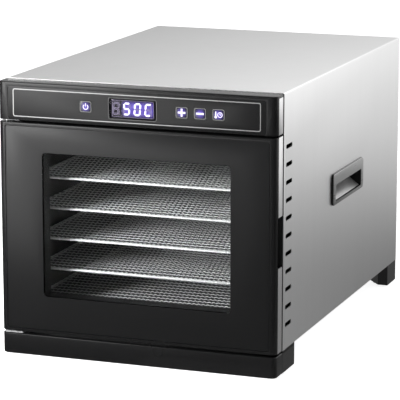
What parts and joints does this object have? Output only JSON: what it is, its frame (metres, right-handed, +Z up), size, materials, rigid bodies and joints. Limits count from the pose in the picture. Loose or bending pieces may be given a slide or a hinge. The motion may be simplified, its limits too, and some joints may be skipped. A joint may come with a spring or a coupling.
{
  "type": "food dehydrator",
  "caption": "Cabinet food dehydrator: steel box with a glazed side-hung door, wire mesh trays on side rails, key and display fascia, side slots, recessed handles, rear fan and ring heater.",
  "frame": {"origin": "middle of the cabinet's footprint, on the surface that the foot pads stand on", "axes": "+X to the right seen from the front, +Y to the back, +Z up; the door faces -Y"},
  "size_m": [0.346, 0.51, 0.326],
  "materials": {
    "brushed_steel": "brushed, satin",
    "galvanised_sheet": "matt zinc coating",
    "chamber_steel": "satin",
    "frame_paint": "black powder coat",
    "black_gloss": "gloss",
    "black_satin": "satin",
    "silver_print": "satin",
    "smoked_lens": "clear, smoked",
    "display_module": "gloss",
    "circuit_board": "satin",
    "key_face": "gloss, lit from behind",
    "door_glass": "clear, grey tint",
    "gasket_rubber": "matt",
    "magnet": "matt",
    "bush_nylon": "satin",
    "zinc_steel": "bright zinc",
    "tray_wire": "bright",
    "fan_aluminium": "mill finish",
    "motor_casing": "satin",
    "heater_sheath": "matt oxide",
    "ribbon": "matt",
    "lead_insulation": "satin",
    "handle_grey": "satin"
  },
  "bodies": {
    "cabinet": {"outer_wrap": "brushed_steel", "base_pan": "galvanised_sheet", "back_panel": "galvanised_sheet", "front_frame": "frame_paint", "plinth": "black_gloss", "rear_foot_left": "black_satin", "rear_foot_right": "black_satin", "foot_pads": "gasket_rubber", "side_rack_left": "chamber_steel", "side_rack_right": "chamber_steel", "chamber_top": "chamber_steel", "chamber_floor": "chamber_steel", "fan_baffle": "chamber_steel", "fascia_shell": "black_gloss", "fascia_edge_strips": "brushed_steel", "control_overlay": "black_gloss", "overlay_border": "silver_print", "display_lens": "smoked_lens", "led_display": "display_module", "control_board": "circuit_board", "key_switches": "black_satin", "catch_plates": "galvanised_sheet", "upper_hinge": "zinc_steel", "lower_hinge": "zinc_steel", "fan_motor": "motor_casing", "motor_bracket": "galvanised_sheet", "heater_loops": "heater_sheath", "heater_clips": "galvanised_sheet", "thermal_cutout": "black_satin", "air_probe": "zinc_steel", "power_board": "circuit_board", "ribbon_cable": "ribbon", "mains_inlet": "black_satin", "mains_leads": "lead_insulation", "handle_cup_left": "handle_grey", "handle_cup_right": "handle_grey", "back_screws": "zinc_steel", "foot_screws": "zinc_steel"},
    "door": {"door_shell": "black_gloss", "door_liner": "black_satin", "door_glass": "door_glass", "window_mask": "black_satin", "door_gasket": "gasket_rubber", "door_edge_strip_left": "brushed_steel", "door_edge_strip_right": "brushed_steel", "door_magnets": "magnet", "hinge_bushes": "bush_nylon", "liner_screws": "zinc_steel"},
    "fan": {"fan_impeller": "fan_aluminium", "motor_shaft": "zinc_steel"},
    "power_key": {"power_key": "key_face"},
    "plus_key": {"plus_key": "key_face"},
    "minus_key": {"minus_key": "key_face"},
    "mode_key": {"mode_key": "key_face"},
    "tray_1": {"tray_1": "tray_wire"},
    "tray_2": {"tray_2": "tray_wire"},
    "tray_3": {"tray_3": "tray_wire"},
    "tray_4": {"tray_4": "tray_wire"},
    "tray_5": {"tray_5": "tray_wire"},
    "tray_6": {"tray_6": "tray_wire"}
  },
  "joints": [
    {"name": "door_hinge", "type": "hinge", "parent": "cabinet", "child": "door", "pos_m": [-0.162, -0.2435, 0.15375], "axis": [0, 0, -1], "range_deg": [0, 165]},
    {"name": "tray_1_slide", "type": "slide", "parent": "cabinet", "child": "tray_1", "axis": [0, -1, 0], "range_m": [0, 0.013]},
    {"name": "tray_2_slide", "type": "slide", "parent": "cabinet", "child": "tray_2", "axis": [0, -1, 0], "range_m": [0, 0.013]},
    {"name": "tray_3_slide", "type": "slide", "parent": "cabinet", "child": "tray_3", "axis": [0, -1, 0], "range_m": [0, 0.013]},
    {"name": "tray_4_slide", "type": "slide", "parent": "cabinet", "child": "tray_4", "axis": [0, -1, 0], "range_m": [0, 0.013]},
    {"name": "tray_5_slide", "type": "slide", "parent": "cabinet", "child": "tray_5", "axis": [0, -1, 0], "range_m": [0, 0.013]},
    {"name": "tray_6_slide", "type": "slide", "parent": "cabinet", "child": "tray_6", "axis": [0, -1, 0], "range_m": [0, 0.013]},
    {"name": "power_press", "type": "slide", "parent": "cabinet", "child": "power_key", "axis": [0, 1, 0], "range_m": [0, 0.0007], "stiffness_N_per_m": 400},
    {"name": "plus_press", "type": "slide", "parent": "cabinet", "child": "plus_key", "axis": [0, 1, 0], "range_m": [0, 0.0007], "stiffness_N_per_m": 400},
    {"name": "minus_press", "type": "slide", "parent": "cabinet", "child": "minus_key", "axis": [0, 1, 0], "range_m": [0, 0.0007], "stiffness_N_per_m": 400},
    {"name": "mode_press", "type": "slide", "parent": "cabinet", "child": "mode_key", "axis": [0, 1, 0], "range_m": [0, 0.0007], "stiffness_N_per_m": 400},
    {"name": "fan_spin", "type": "hinge", "parent": "cabinet", "child": "fan", "pos_m": [0, 0.142, 0.155], "axis": [0, -1, 0], "continuous": true}
  ]
}
